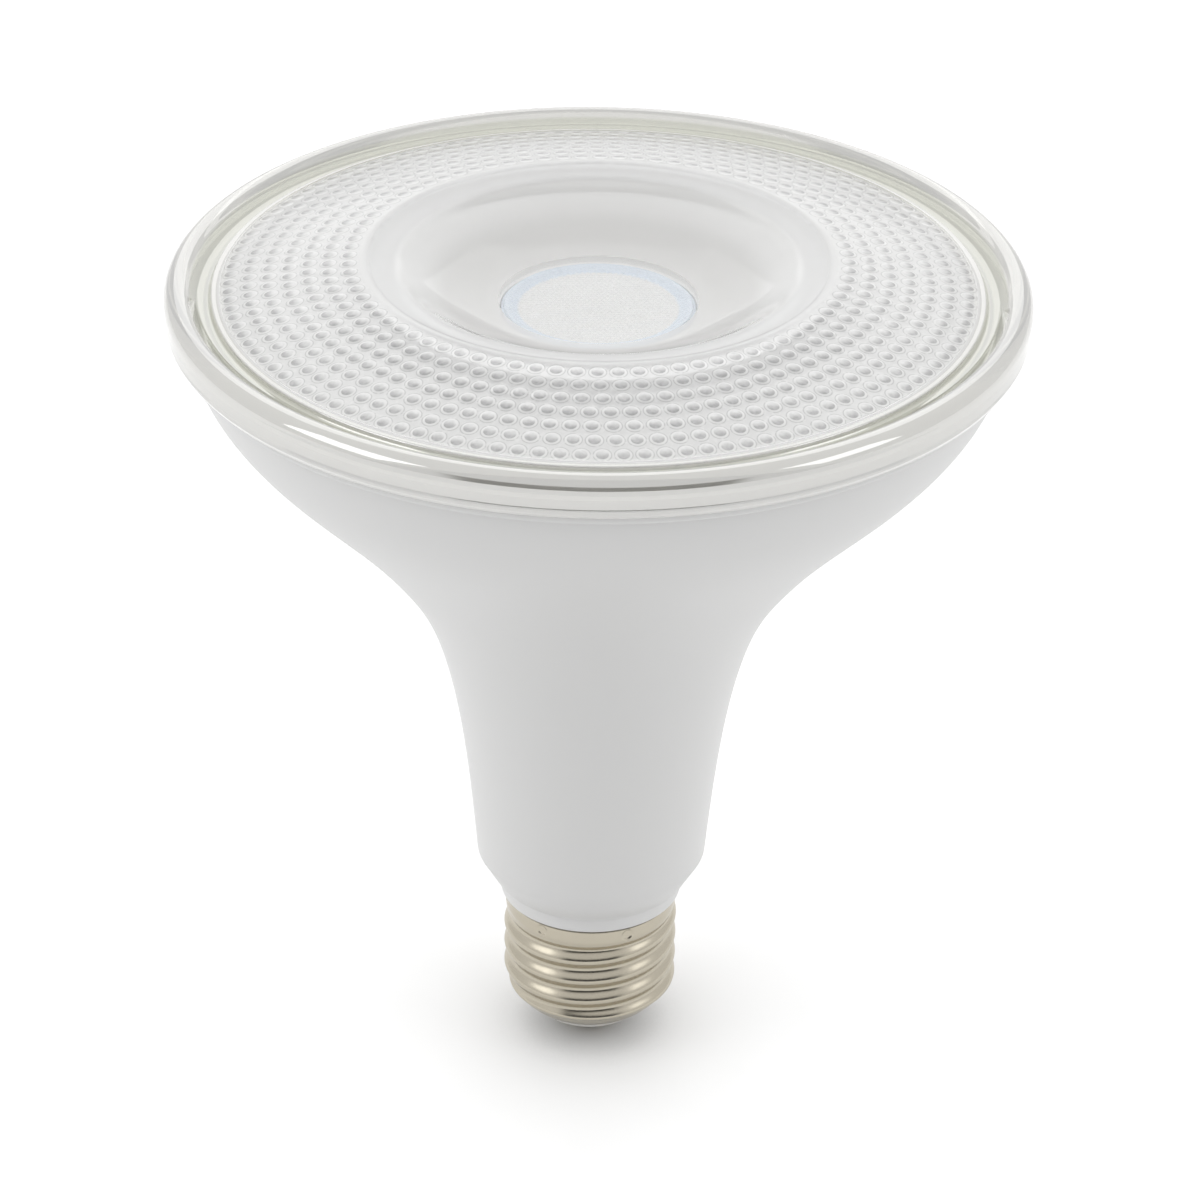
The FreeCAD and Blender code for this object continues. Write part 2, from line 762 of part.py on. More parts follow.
def driver_cover():
    """Plastic disc that closes the sleeve, with a hole for the output wires."""
    radius = inset_radius(sleeve_top, sleeve_depth())
    disc = cylinder(radius, cover_thickness, V(0, 0, sleeve_top))
    x, y = cover_hole_place
    return disc.cut(cylinder(cover_hole_radius, cover_thickness + 2, V(x, y, sleeve_top - 1)))


def driver_board():
    """Upright circuit board, narrow between the rails and wide above them."""
    y = (driver_back, driver_face)
    low = sleeve_bottom + sleeve_flange_height
    narrow = box((-driver_low_width / 2, driver_low_width / 2), y, (low, driver_step_level))
    wide = box((-driver_high_width / 2, driver_high_width / 2), y, (driver_step_level, driver_top))
    return narrow.fuse(wide).removeSplitter()


def transformer_coil():
    """Wound block on its bobbin, standing on the board around the core's middle leg."""
    z = (coil_level - coil_height / 2, coil_level + coil_height / 2)
    block = box((-coil_half_width, coil_half_width), (driver_face, driver_face + coil_depth), z)
    far_edges = [edge for edge in block.Edges if abs(edge.tangentAt(0).z) > 0.9
                 and edge.BoundBox.YMin > driver_face + coil_depth / 2]
    block = block.makeFillet(coil_rounding, far_edges)
    leg = core_leg_half_width + core_gap
    y = (driver_face + core_offset - core_gap, driver_face + core_offset + core_depth + core_gap)
    return block.cut(box((-leg, leg), y, (z[0] - 1, z[1] + 1)))


def transformer_core():
    """Closed ferrite core with two windows for the coil."""
    y = (driver_face + core_offset, driver_face + core_offset + core_depth)
    z = (coil_level - core_height / 2, coil_level + core_height / 2)
    block = box((-core_half_width, core_half_width), y, z)
    window_z = (coil_level - coil_height / 2 - core_gap, coil_level + coil_height / 2 + core_gap)
    far = coil_half_width + core_gap
    windows = [box(sorted((side * core_leg_half_width, side * far)), (y[0] - 1, y[1] + 1), window_z)
               for side in (-1, 1)]
    return block.cut(windows)


def can(x, z, radius, length):
    """Electrolytic capacitor that stands out of the board, with a crimp groove near its foot."""
    low, high = (radius, can_groove_level), (radius, can_groove_level + can_groove_width)
    points = [(0, 0), (radius, 0), low, bulged(low, high, -can_groove),
              (radius, length - can_rounding), (radius - can_rounding, length), (0, length)]
    solid = turned(points)
    solid.rotate(CENTRE, V(1, 0, 0), -90)
    solid.translate(V(x, driver_face, z))
    return solid


def box_part(x, z, width, height, depth):
    """Box-shaped component on the board's front face."""
    body = box((x - width / 2, x + width / 2), (driver_face, driver_face + depth),
               (z - height / 2, z + height / 2))
    front = [edge for edge in body.Edges if edge.BoundBox.YMin > driver_face + depth / 2]
    return body.makeFillet(min(box_rounding, depth / 4), front)


def switching_chip():
    """Driver chip on the back of the board, with two rows of leads."""
    x, z, width, height, depth = chip_box
    body = box((x - width / 2, x + width / 2), (driver_back - depth, driver_back - chip_gap),
               (z - height / 2, z + height / 2))
    leads = []
    for side in (-1, 1):
        z_range = sorted((z + side * (height - lead_reach) / 2, z + side * (height / 2 + lead_reach)))
        for step in range(lead_count):
            centre = x + (step - (lead_count - 1) / 2) * lead_pitch
            leads.append(box((centre - lead_width / 2, centre + lead_width / 2),
                             (driver_back - lead_thickness, driver_back), z_range))
    return body.fuse(leads)


def filter_inductor():
    """Drum core with its winding in the waist."""
    x, z, radius, length = inductor
    waist = radius - inductor_waist
    solid = turned([(0, 0), (radius, 0), (radius, inductor_flange),
                    (waist, inductor_flange), (waist, length - inductor_flange),
                    (radius, length - inductor_flange), (radius, length), (0, length)])
    solid.rotate(CENTRE, V(1, 0, 0), -90)
    solid.translate(V(x, driver_face, z))
    return solid


def fuse_resistor():
    """Axial resistor lying on the board, thicker at both ends."""
    x, z, radius, length = fuse_body
    end, slope = fuse_end_length, fuse_end_length + fuse_slope
    waist = radius - fuse_waist
    solid = turned([(0, 0), (radius - fuse_edge, 0), (radius, fuse_edge), (radius, end),
                    (waist, slope), (waist, length - slope), (radius, length - end),
                    (radius, length - fuse_edge), (radius - fuse_edge, length), (0, length)])
    solid.translate(V(x, driver_face + radius, z - length / 2))
    return solid


def varistor_disc():
    """Round varistor that stands on the board's face, edge on."""
    x, z, radius, thickness = varistor
    disc = cylinder(radius, thickness, V(x - thickness / 2, driver_face + radius, z), V(1, 0, 0))
    return disc.makeFillet(varistor_rounding, disc.Edges[:1] + disc.Edges[2:])


def wire(route, side=1):
    """Round wire along straight runs joined by arcs; side -1 mirrors the route in X."""
    points = [V(side * x, y, z) for x, y, z in route]
    edges = []
    here = points[0]
    for index in range(1, len(points) - 1):
        corner = points[index]
        back = points[index - 1] - corner
        ahead = points[index + 1] - corner
        turn = math.pi - back.getAngle(ahead)
        radius = 0.45 * min(back.Length, ahead.Length) / math.tan(turn / 2)
        reach = radius * math.tan(turn / 2)
        first = corner + back.normalize() * reach
        last = corner + ahead.normalize() * reach
        bisector = (back + ahead).normalize()
        crown = corner + bisector * (radius / math.cos(turn / 2) - radius)
        edges.append(Part.makeLine(here, first))
        edges.append(Part.Arc(first, crown, last).toShape())
        here = last
    edges.append(Part.makeLine(here, points[-1]))
    path = Part.Wire(edges)
    start = Part.Circle(points[0], points[1] - points[0], wire_radius).toShape()
    solid = path.makePipeShell([Part.Wire(start)], True, False)
    expected = math.pi * wire_radius ** 2 * path.Length
    print("wire length %.1f, volume share %.4f" % (path.Length, solid.Volume / expected))
    return solid


def live_wire():
    """Wire from the rivet of the centre contact to the driver; its bared end sits in the rivet."""
    return wire(live_route)


PIECES = {
    "centre_contact": centre_contact,
    "base_insulator": base_insulator,
    "screw_shell": screw_shell,
    "housing": housing,
    "seal_ring": seal_ring,
    "front_lens": front_lens,
    "reflector_ring": reflector_ring,
    "collimator_lens": collimator_lens,
    "lens_holder": lens_holder,
    "led_board": led_board,
    "heat_pad": heat_pad,
    "led_array": led_array,
    "phosphor_disc": phosphor_disc,
    "wire_connector": wire_connector,
    "board_screws": board_screws,
    "led_plate": led_plate,
    "heat_sink": heat_sink,
    "insulating_sleeve": insulating_sleeve,
    "driver_cover": driver_cover,
    "driver_board": driver_board,
    "transformer_coil": transformer_coil,
    "transformer_core": transformer_core,
    "input_capacitor": lambda: can(*input_can),
    "output_capacitor": lambda: can(*output_can),
    "film_capacitor": lambda: box_part(*film_box),
    "bridge_rectifier": lambda: box_part(*rectifier_box),
    "switching_chip": switching_chip,
    "filter_inductor": filter_inductor,
    "fuse_resistor": fuse_resistor,
    "varistor_disc": varistor_disc,
    "live_wire": live_wire,
    "neutral_wire": lambda: wire(neutral_route),
    "positive_wire": lambda: wire(output_route),
    "negative_wire": lambda: wire(output_route, -1),
}

os.makedirs("parts", exist_ok=True)
for node, make in PIECES.items():
    shape = make()
    print("%-18s solids %d valid %s volume %.1f"
          % (node, len(shape.Solids), shape.isValid(), shape.Volume))
    shape.exportStep("parts/" + node + ".step")
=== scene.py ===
"""Reflector-shaped LED flood bulb with a screw base, finished over its solid model.

Metres, +Z from the centre contact up to the front lens, the photograph's front towards -Y.
Profiles are (radius, height) points in millimetres, as a turner would list them, and are turned
about the bulb's axis. The bulb's named sizes are in millimetres too.
"""
import math

import bpy
import numpy as np
from mathutils import Matrix


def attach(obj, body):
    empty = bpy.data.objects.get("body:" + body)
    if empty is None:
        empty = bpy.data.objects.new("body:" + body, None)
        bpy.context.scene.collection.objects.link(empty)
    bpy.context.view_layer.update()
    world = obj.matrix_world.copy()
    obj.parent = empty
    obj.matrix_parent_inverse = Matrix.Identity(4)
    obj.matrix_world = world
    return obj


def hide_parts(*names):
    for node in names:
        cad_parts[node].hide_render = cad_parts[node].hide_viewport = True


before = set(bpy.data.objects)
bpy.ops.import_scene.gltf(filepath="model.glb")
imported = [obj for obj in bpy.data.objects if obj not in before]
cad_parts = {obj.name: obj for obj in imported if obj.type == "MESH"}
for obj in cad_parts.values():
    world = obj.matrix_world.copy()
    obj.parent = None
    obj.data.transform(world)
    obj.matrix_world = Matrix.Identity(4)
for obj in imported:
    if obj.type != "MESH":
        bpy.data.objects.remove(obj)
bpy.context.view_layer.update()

MM = 0.001
TURN = 2 * np.pi

# Camera, from the outlines of the rim, the rings and the base
image_side = 1200
sensor_width = 36.0
focal_pixels = 3995.75
rim_distance = 560.0 * MM
rim_elevation = math.radians(25.692)
rim_above_middle = 313.03
camera_roll = math.radians(0.794)
axis_offset_pixels = 5.56

# Housing, as in the solid
housing_outline = (
    (17.2, 32.0), (18.0, 41.0), (19.4, 53.0), (21.7, 65.0), (25.2, 75.0), (30.2, 83.0),
    (36.7, 91.0), (44.3, 99.0), (51.55, 107.0), (55.5, 113.0), (57.1, 117.0), (57.6, 119.2),
)
housing_wall = 1.9
housing_wall_bottom = 33.5
housing_wall_top = 117.8
housing_columns = 256
bead_radius = 59.3
land_level = 121.0

# Screw shell
thread_pitch = 3.629
thread_crest_radius = 13.13
thread_depth = 0.92
thread_first_crest = 18.7
thread_start = 7.0
thread_end = 21.6
thread_fade = 1.4
shell_bottom = 5.0
shell_top = 24.0
shell_wall = 0.35
shell_columns = 384
shell_outer_rings = 150
shell_inner_rings = 60
taper_top = 9.0
taper_length = 4.0
taper_depth = 2.67
taper_power = 1.8
collar_radius = 12.95
collar_start = 20.9
punch_count = 6
first_punch_angle = math.radians(-64.0)
punch_level = 22.95
punch_radius = 0.85
punch_depth = 0.25

# Front lens
rim_radius = 60.6
rim_level = 124.8
rim_bead = 1.95
rim_bottom = 122.6
inner_line_radius = 33.1
inner_line_level = 129.45
field_radius = 52.8
field_level = 125.35
field_rings = 62
lip_half_width = 0.25
lip_level = 125.5
valley_radius = 54.5
valley_level = 124.52
seat_radius = 53.0
skirt_level = 121.0
window_radius = 13.9
window_level = 122.9
underside_level = 121.5
lens_columns = 400
field_columns = 800

# Dimples on the lens, and the edges of the painted light that its material gives each of them: a
# grey outline of painted shade, a pale ring of painted highlight and a disc of painted shade that
# darkens outwards
row_count = 7
first_row_radius = 34.9
row_spacing = 2.767
first_row_dimples = 80
dimples_gained = 6.34          # by each row over the row inside it
row_turn = 0.37                # of each row against the row inside it, in dimples
dimple_radius = 1.15
dimple_bevel = 0.45
dimple_height = 0.08
# Painted shade round each dimple, a painted highlight ring, and a disc lighter inwards and darker
# outwards
shade_outline_radius = 1.2
shade_outline_edges = (0.12, 0.02)
highlight_ring_edges = (1.14, 1.06)
shaded_disc_edges = (0.88, 0.78)
shaded_disc_levels = (0.74, 0.38)
shaded_disc_reach = (-0.7, 0.5)  # outwards from the dimple's middle
tone_field_share = 0.6         # of the row spacing, on both sides of a row
streak_scale = 1500.0
streak_edges = (0.52, 0.66)
streak_strength = 0.7
streak_lift = 0.4

# Collimator
collimator_radius = 13.1
collimator_level = 120.5
collimator_edge_level = 121.17
collimator_flat_radius = 11.2
collimator_columns = 540
collimator_face_rings = 96
honeycomb_radius = 12.9
honeycomb_fade = 0.3
honeycomb_pitch = 0.8
honeycomb_height = 0.24

# Studio, in metres and degrees: each lamp has an azimuth, an elevation, a distance, a side and
# its watts
lamps = {
    "left_lamp": (-70, 35, 1.2, 0.6, 1.5),
    "right_lamp": (70, 35, 1.2, 0.5, 0.9),
    "back_lamp": (180, 32, 1.3, 0.9, 1.3),
}
lamp_aim = (0, 0, 80.0 * MM)
tent_level = 0.9
room_level = 0.02
room_side_angles = (28.0, 42.0)
room_top_angles = (24.0, 32.0)
room_front = (-0.4, -0.2)      # along Y, in a direction of length 1
floor_half = 3.0
# Painted shadow on the floor: its colour darkens and its plain white fades where the object hides
# the open sky within this reach
shadow_reach = 75.0 * MM
painted_shadow_tones = (0.64, 0.82)
painted_shadow_openness = (0.1, 0.95)   # share of open sky above the floor
glow_strength = 0.36
glow_openness = (0.15, 1.0)


def arc(start, middle, end, steps=8):
    """Points of the circle through three points, from the first to the last: the centre is where
    the two chords' bisectors meet, and the angle runs evenly from end to end."""
    a, b, c = (np.array(point, float) for point in (start, middle, end))
    rows = np.array([b - a, c - b])
    centre = np.linalg.solve(rows, [(b @ b - a @ a) / 2, (c @ c - b @ b) / 2])
    angles = [math.atan2(*(point - centre)[::-1]) for point in (a, b, c)]
    span = (angles[2] - angles[0]) % TURN
    if (angles[1] - angles[0]) % TURN > span:
        span -= TURN
    angle = angles[0] + span * np.linspace(0, 1, steps + 1)
    radius = np.linalg.norm(a - centre)
    return centre + radius * np.stack([np.cos(angle), np.sin(angle)], 1)


def spline(points, steps=8):
    """Natural cubic through the points: the second derivatives solve one linear system in chord
    length, and each span is evaluated at even steps."""
    points = np.array(points, float)
    span = np.linalg.norm(np.diff(points, axis=0), axis=1)
    count = len(points)
    system = np.eye(count)
    right = np.zeros((count, 2))
    inner = np.arange(1, count - 1)
    system[inner, inner - 1] = span[:-1]
    system[inner, inner] = 2 * (span[:-1] + span[1:])
    system[inner, inner + 1] = span[1:]
    slope = np.diff(points, axis=0) / span[:, None]
    right[inner] = 6 * np.diff(slope, axis=0)
    bend = np.linalg.solve(system, right)
    share = np.linspace(0, 1, steps, endpoint=False)[None, :, None]
    h = span[:, None, None]
    low, high = bend[:-1, None], bend[1:, None]
    a, b = points[:-1, None], points[1:, None]
    curve = ((1 - share) * a + share * b
             + h ** 2 / 6 * (((1 - share) ** 3 - (1 - share)) * low + (share ** 3 - share) * high))
    return np.concatenate([curve.reshape(-1, 2), points[-1:]])


def line(*points):
    """Corners of a straight stretch."""
    return np.array(points, float)


def joined(*stretches):
    """One path from several, without its repeated points."""
    path = np.concatenate(stretches)
    far = np.linalg.norm(np.diff(path, axis=0), axis=1) > 1e-6
    return path[np.concatenate([[True], far])]


def softened(path, radius, turn=25.0):
    """Each corner that turns by more than the given degrees becomes a small curve: a quadratic
    from a point before the corner to a point after it, with at most 0.4 of either side."""
    before = np.roll(path, 1, axis=0) - path
    after = np.roll(path, -1, axis=0) - path
    long_before = np.linalg.norm(before, axis=1, keepdims=True)
    long_after = np.linalg.norm(after, axis=1, keepdims=True)
    cosine = -np.sum(before * after, 1, keepdims=True) / (long_before * long_after)
    sharp = (cosine < math.cos(math.radians(turn))) & (path[:, :1] > 1e-6)
    reach = np.minimum(radius, 0.4 * np.minimum(long_before, long_after)) * sharp
    first = path + before / long_before * reach
    last = path + after / long_after * reach
    share = np.linspace(0, 1, 4)[None, :, None]
    curve = ((1 - share) ** 2 * first[:, None] + 2 * share * (1 - share) * path[:, None]
             + share ** 2 * last[:, None])
    keep = np.repeat(sharp, 4, axis=1)
    keep[:, 0] = True
    return curve[keep]


def smooth_step(share):
    """Rise from 0 to 1 that starts and ends level: three squares less two cubes."""
    share = np.clip(share, 0, 1)
    return share * share * (3 - 2 * share)


def anticlockwise(path):
    """The path turned so that its inside is on the left, which makes turned faces look outwards."""
    x, z = path.T
    area = np.sum(x * np.roll(z, -1) - np.roll(x, -1) * z)
    return path if area > 0 else path[::-1]


def strip(low, low_count, high, high_count):
    """Faces between two rings of points. Equal rings make quads. Where one ring has twice the
    other's points, each of its pairs meets one point of the other in three triangles."""
    if low_count == high_count:
        a = np.arange(low_count)
        b = (a + 1) % low_count
        return [np.stack([low + a, low + b, high + b, high + a], 1)]
    few = min(low_count, high_count)
    a = np.arange(few)
    b = (a + 1) % few
    even, odd, following = 2 * a, 2 * a + 1, (2 * a + 2) % (2 * few)
    if low_count > high_count:
        return [np.stack([low + even, low + odd, high + a], 1),
                np.stack([low + odd, high + b, high + a], 1),
                np.stack([low + odd, low + following, high + b], 1)]
    return [np.stack([low + a, high + odd, high + even], 1),
            np.stack([low + a, low + b, high + odd], 1),
            np.stack([low + b, high + following, high + odd], 1)]


def ring_faces(counts, closed):
    """Faces of a stack of rings, as a list for each pair of rings. A ring of one point is a pole,
    closed by a fan."""
    starts = np.concatenate([[0], np.cumsum(counts)])
    pairs = [(i, i + 1) for i in range(len(counts) - 1)]
    if closed:
        pairs.append((len(counts) - 1, 0))
    faces = []
    for i, j in pairs:
        low, high = starts[i], starts[j]
        if counts[i] == 1 or counts[j] == 1:
            count = max(counts[i], counts[j])
            a = np.arange(count)
            b = (a + 1) % count
            if counts[i] == 1:
                faces.append([np.stack([high + b, high + a, np.full(count, low)], 1)])
            else:
                faces.append([np.stack([low + a, low + b, np.full(count, high)], 1)])
        else:
            faces.append(strip(low, counts[i], high, counts[j]))
    return faces


def make_piece(name, rings, closed, materials, slot, *nodes, sharp=40.0, worn=None):
    """Mesh piece from a list of (count, 3) rings in millimetres, standing for solid nodes. The
    faces between two rings wear the material whose number worn gives for that pair."""
    points = np.concatenate(rings) * MM
    bands = ring_faces([len(ring) for ring in rings], closed)
    faces = [part for band in bands for part in band]
    corners = np.concatenate([part.ravel() for part in faces])
    sizes = np.concatenate([np.full(len(part), part.shape[1]) for part in faces])
    mesh = bpy.data.meshes.new(name)
    mesh.vertices.add(len(points))
    mesh.vertices.foreach_set("co", points.astype(np.float32).ravel())
    mesh.loops.add(len(corners))
    mesh.loops.foreach_set("vertex_index", corners.astype(np.int32))
    mesh.polygons.add(len(sizes))
    starts = np.concatenate([[0], np.cumsum(sizes)[:-1]])
    mesh.polygons.foreach_set("loop_start", starts.astype(np.int32))
    mesh.polygons.foreach_set("use_smooth", np.ones(len(sizes), bool))
    mesh.update(calc_edges=True)
    mesh.set_sharp_from_angle(angle=math.radians(sharp))
    for material in materials:
        mesh.materials.append(material)
    if worn is not None:
        counts = [sum(len(part) for part in band) for band in bands]
        mesh.polygons.foreach_set("material_index", np.repeat(worn, counts).astype(np.int32))
    piece = bpy.data.objects.new(name, mesh)
    bpy.context.scene.collection.objects.link(piece)
    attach(piece, "root")
    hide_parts(*nodes)


def turned_rings(path, columns):
    """Rings of a path turned about Z: each point goes round at its radius and height, and a
    point on the axis stays one point."""
    counts = np.broadcast_to(columns, len(path))
    rings = []
    for (radius, height), count in zip(path, counts):
        count = 1 if radius < 1e-6 else int(count)
        angle = TURN * np.arange(count) / count
        rings.append(np.stack([radius * np.cos(angle), radius * np.sin(angle),
                               np.full(count, height)], 1))
    return rings


def new_group(name, inputs, outputs):
    """Empty node group with named sockets. Inputs have a type and a starting value."""
    group = bpy.data.node_groups.new(name, "ShaderNodeTree")
    for label, kind, value in inputs:
        socket = group.interface.new_socket(label, in_out="INPUT", socket_type="NodeSocket" + kind)
        socket.default_value = value
    for label, kind in outputs:
        group.interface.new_socket(label, in_out="OUTPUT", socket_type="NodeSocket" + kind)
    return group, group.nodes.new("NodeGroupInput"), group.nodes.new("NodeGroupOutput")


def feed(tree, socket, value):
    """Link a socket to another node's output, or give it a plain value."""
    if isinstance(value, bpy.types.NodeSocket):
        tree.links.new(value, socket)
    else:
        socket.default_value = value


def add(tree, kind, links=None, **values):
    """Node with its properties set and its sockets fed."""
    node = tree.nodes.new("ShaderNode" + kind)
    for key, value in values.items():
        setattr(node, key, value)
    for key, value in (links or {}).items():
        feed(tree, node.inputs[key], value)
    return node


def calc(tree, operation, *values):
    """Output of a Math node."""
    return add(tree, "Math", dict(enumerate(values)), operation=operation).outputs[0]


def mixed_color(tree, share, first, second):
    """Colour between two colours."""
    return add(tree, "Mix", {"Factor": share, 6: first, 7: second}, data_type="RGBA").outputs[2]


def ramp_between(tree, value, low, high, from_value, to_value):
    """Smooth change from one value to another as the input goes from low to high."""
    return add(tree, "MapRange", {"Value": value, "From Min": low, "From Max": high,
                                  "To Min": from_value, "To Max": to_value},
               interpolation_type="SMOOTHSTEP").outputs[0]


def fine_surface():
    """Node group for moulded and turned surfaces: broad soft blotches move the colour a little,
    the blotches and a fine noise move the roughness, and the fine noise raises the surface."""
    group, given, result = new_group(
        "fine_surface",
        [("Color", "Color", (0.8, 0.8, 0.8, 1)), ("Variation", "Float", 0.02),
         ("Roughness", "Float", 0.4), ("Roughness spread", "Float", 0.05),
         ("Grain size", "Float", 900.0), ("Grain height", "Float", 0.05)],
        [("Color", "Color"), ("Roughness", "Float"), ("Normal", "Vector")])
    place = add(group, "TexCoord").outputs["Object"]
    broad = add(group, "TexNoise", {"Vector": place, "Scale": 38.0, "Detail": 3.0,
                                    "Roughness": 0.55}).outputs["Fac"]
    fine = add(group, "TexNoise", {"Vector": place, "Scale": given.outputs["Grain size"],
                                   "Detail": 4.0, "Roughness": 0.6}).outputs["Fac"]
    centred = calc(group, "SUBTRACT", broad, 0.5)
    level = calc(group, "ADD", calc(group, "MULTIPLY", centred, given.outputs["Variation"]), 1.0)
    tone = add(group, "VectorMath", {0: given.outputs["Color"], "Scale": level},
               operation="SCALE").outputs[0]
    swing = calc(group, "MULTIPLY", calc(group, "ADD", centred, fine),
                 given.outputs["Roughness spread"])
    rough = add(group, "Math", {0: swing, 1: given.outputs["Roughness"]},
                operation="ADD", use_clamp=True).outputs[0]
    bump = add(group, "Bump", {"Strength": given.outputs["Grain height"], "Distance": 0.0002,
                               "Height": fine})
    group.links.new(tone, result.inputs["Color"])
    group.links.new(rough, result.inputs["Roughness"])
    group.links.new(bump.outputs[0], result.inputs["Normal"])
    return group


FINE_SURFACE = fine_surface()


def plain_finish(name, color, roughness, metallic=0.0, variation=0.03, spread=0.08,
                 grain=900.0, height=0.05):
    """Material of one Principled shader fed by the fine surface group."""
    material = bpy.data.materials.new(name)
    material.use_nodes = True
    tree = material.node_tree
    shader = tree.nodes["Principled BSDF"]
    surface = add(tree, "Group", {"Color": (*color, 1), "Variation": variation,
                                  "Roughness": roughness, "Roughness spread": spread,
                                  "Grain size": grain, "Grain height": height},
                  node_tree=FINE_SURFACE)
    for key, output in (("Base Color", "Color"), ("Roughness", "Roughness"), ("Normal", "Normal")):
        tree.links.new(surface.outputs[output], shader.inputs[key])
    shader.inputs["Metallic"].default_value = metallic
    return material


def radial_zone():
    """Node group: 1 between two distances from the bulb's axis and 0 beyond them, with a smooth
    change on both sides."""
    group, given, result = new_group(
        "radial_zone",
        [("Inner", "Float", 0.01), ("Outer", "Float", 0.02), ("Blend", "Float", 0.001)],
        [("Mask", "Float")])
    place = add(group, "TexCoord").outputs["Object"]
    flat = add(group, "VectorMath", {0: place, 1: (1, 1, 0)}, operation="MULTIPLY").outputs[0]
    radius = add(group, "VectorMath", {0: flat}, operation="LENGTH").outputs["Value"]
    beyond = calc(group, "SUBTRACT", radius, given.outputs["Inner"])
    before = calc(group, "SUBTRACT", given.outputs["Outer"], radius)
    shares = [ramp_between(group, calc(group, "DIVIDE", side, given.outputs["Blend"]),
                           -1.0, 1.0, 0.0, 1.0) for side in (beyond, before)]
    group.links.new(calc(group, "MULTIPLY", *shares), result.inputs["Mask"])
    return group


RADIAL_ZONE = radial_zone()


def hypotenuse(tree, first, second):
    """Root of the sum of two squares."""
    squares = [calc(tree, "MULTIPLY", side, side) for side in (first, second)]
    return calc(tree, "SQRT", calc(tree, "ADD", *squares))


def soft_edge(tree, distance, edges, full=1.0):
    """Mask that rises from 0 at the first of two distances in millimetres to full at the other."""
    start, end = (edge * MM for edge in edges)
    return ramp_between(tree, distance, start, end, 0.0, full)


def dimple_painted_light(tree, tone):
    """Painted light over the dimples, with the rows and the spacing of their heights: a thin grey
    outline of painted shade, a pale ring of painted highlight and a disc of painted shade that
    darkens outwards. Fine streaks run over all of it."""
    place = add(tree, "TexCoord").outputs["Object"]
    axes = add(tree, "SeparateXYZ", {0: place})
    x, y = axes.outputs["X"], axes.outputs["Y"]
    radius = hypotenuse(tree, x, y)
    from_first = calc(tree, "SUBTRACT", radius, first_row_radius * MM)
    row = calc(tree, "ROUND", calc(tree, "DIVIDE", from_first, row_spacing * MM))
    row = calc(tree, "MINIMUM", calc(tree, "MAXIMUM", row, 0.0), row_count - 1.0)
    count = calc(tree, "FLOOR", calc(tree, "MULTIPLY_ADD", row, dimples_gained, first_row_dimples))
    share = calc(tree, "DIVIDE", calc(tree, "ARCTAN2", y, x), TURN)
    around = calc(tree, "MULTIPLY_ADD", row, row_turn, calc(tree, "MULTIPLY", share, count))
    middle = calc(tree, "MULTIPLY_ADD", row, row_spacing * MM, first_row_radius * MM)
    off = calc(tree, "SUBTRACT", calc(tree, "FRACT", calc(tree, "ADD", around, 0.5)), 0.5)
    pitch = calc(tree, "DIVIDE", calc(tree, "MULTIPLY", middle, TURN), count)
    across = calc(tree, "MULTIPLY", off, pitch)
    outwards = calc(tree, "SUBTRACT", radius, middle)
    distance = hypotenuse(tree, across, outwards)
    streaks = add(tree, "TexNoise", {"Vector": place, "Scale": streak_scale,
                                     "Detail": 2.0}).outputs["Fac"]
    bright = ramp_between(tree, streaks, *streak_edges, 0.0, streak_strength)
    # Painted shade: a thin grey outline round each dimple
    outline = calc(tree, "ABSOLUTE", calc(tree, "SUBTRACT", distance, shade_outline_radius * MM))
    outline = soft_edge(tree, outline, shade_outline_edges, 0.7)
    tone = mixed_color(tree, outline, tone, (0.60, 0.60, 0.60, 1))
    # Painted highlight: a pale ring round each dimple, together with the streaks
    white = calc(tree, "MAXIMUM", bright, soft_edge(tree, distance, highlight_ring_edges))
    on_field = calc(tree, "LESS_THAN", calc(tree, "ABSOLUTE", outwards),
                    row_spacing * MM * tone_field_share)
    white = calc(tree, "MULTIPLY", white, on_field)
    tone = mixed_color(tree, white, tone, (0.99, 0.99, 0.985, 1))
    # Painted light and shade: each disc is lighter inwards and darker outwards
    inner, outer = (reach * MM for reach in shaded_disc_reach)
    level = ramp_between(tree, outwards, inner, outer, *shaded_disc_levels)
    level = calc(tree, "MULTIPLY_ADD", streaks, streak_lift, level)
    grey = add(tree, "CombineColor", {0: level, 1: level, 2: level}).outputs[0]
    return mixed_color(tree, soft_edge(tree, distance, shaded_disc_edges), tone, grey)


def clear_finish(name, color, roughness, transmission, *zones, dimpled=False, **sockets):
    """Clear plastic that shadow rays pass, so that light reaches what lies behind it. Each zone
    of (inner, outer, blend) millimetres from the axis has its own colour and roughness."""
    material = bpy.data.materials.new(name)
    material.use_nodes = True
    tree = material.node_tree
    shader = tree.nodes["Principled BSDF"]
    shader.inputs["IOR"].default_value = 1.58
    shader.inputs["Transmission Weight"].default_value = transmission
    for key, value in sockets.items():
        shader.inputs[key.replace("_", " ")].default_value = value
    tone, level = (*color, 1), roughness
    for inner, outer, blend, zone_color, zone_roughness in zones:
        mask = add(tree, "Group", {"Inner": inner * MM, "Outer": outer * MM, "Blend": blend * MM},
                   node_tree=RADIAL_ZONE).outputs["Mask"]
        tone = mixed_color(tree, mask, tone, (*zone_color, 1))
        level = add(tree, "Mix", {"Factor": mask, 2: level, 3: zone_roughness},
                    data_type="FLOAT").outputs[0]
    # Painted highlights and painted shade on the dimples
    if dimpled:
        tone = dimple_painted_light(tree, tone)
    feed(tree, shader.inputs["Base Color"], tone)
    feed(tree, shader.inputs["Roughness"], level)
    window = add(tree, "BsdfTransparent", {"Color": (*color, 1)})
    path = add(tree, "LightPath")
    mix = add(tree, "MixShader", {"Fac": path.outputs["Is Shadow Ray"],
                                  1: shader.outputs[0], 2: window.outputs[0]})
    tree.links.new(mix.outputs[0], tree.nodes["Material Output"].inputs["Surface"])
    return material


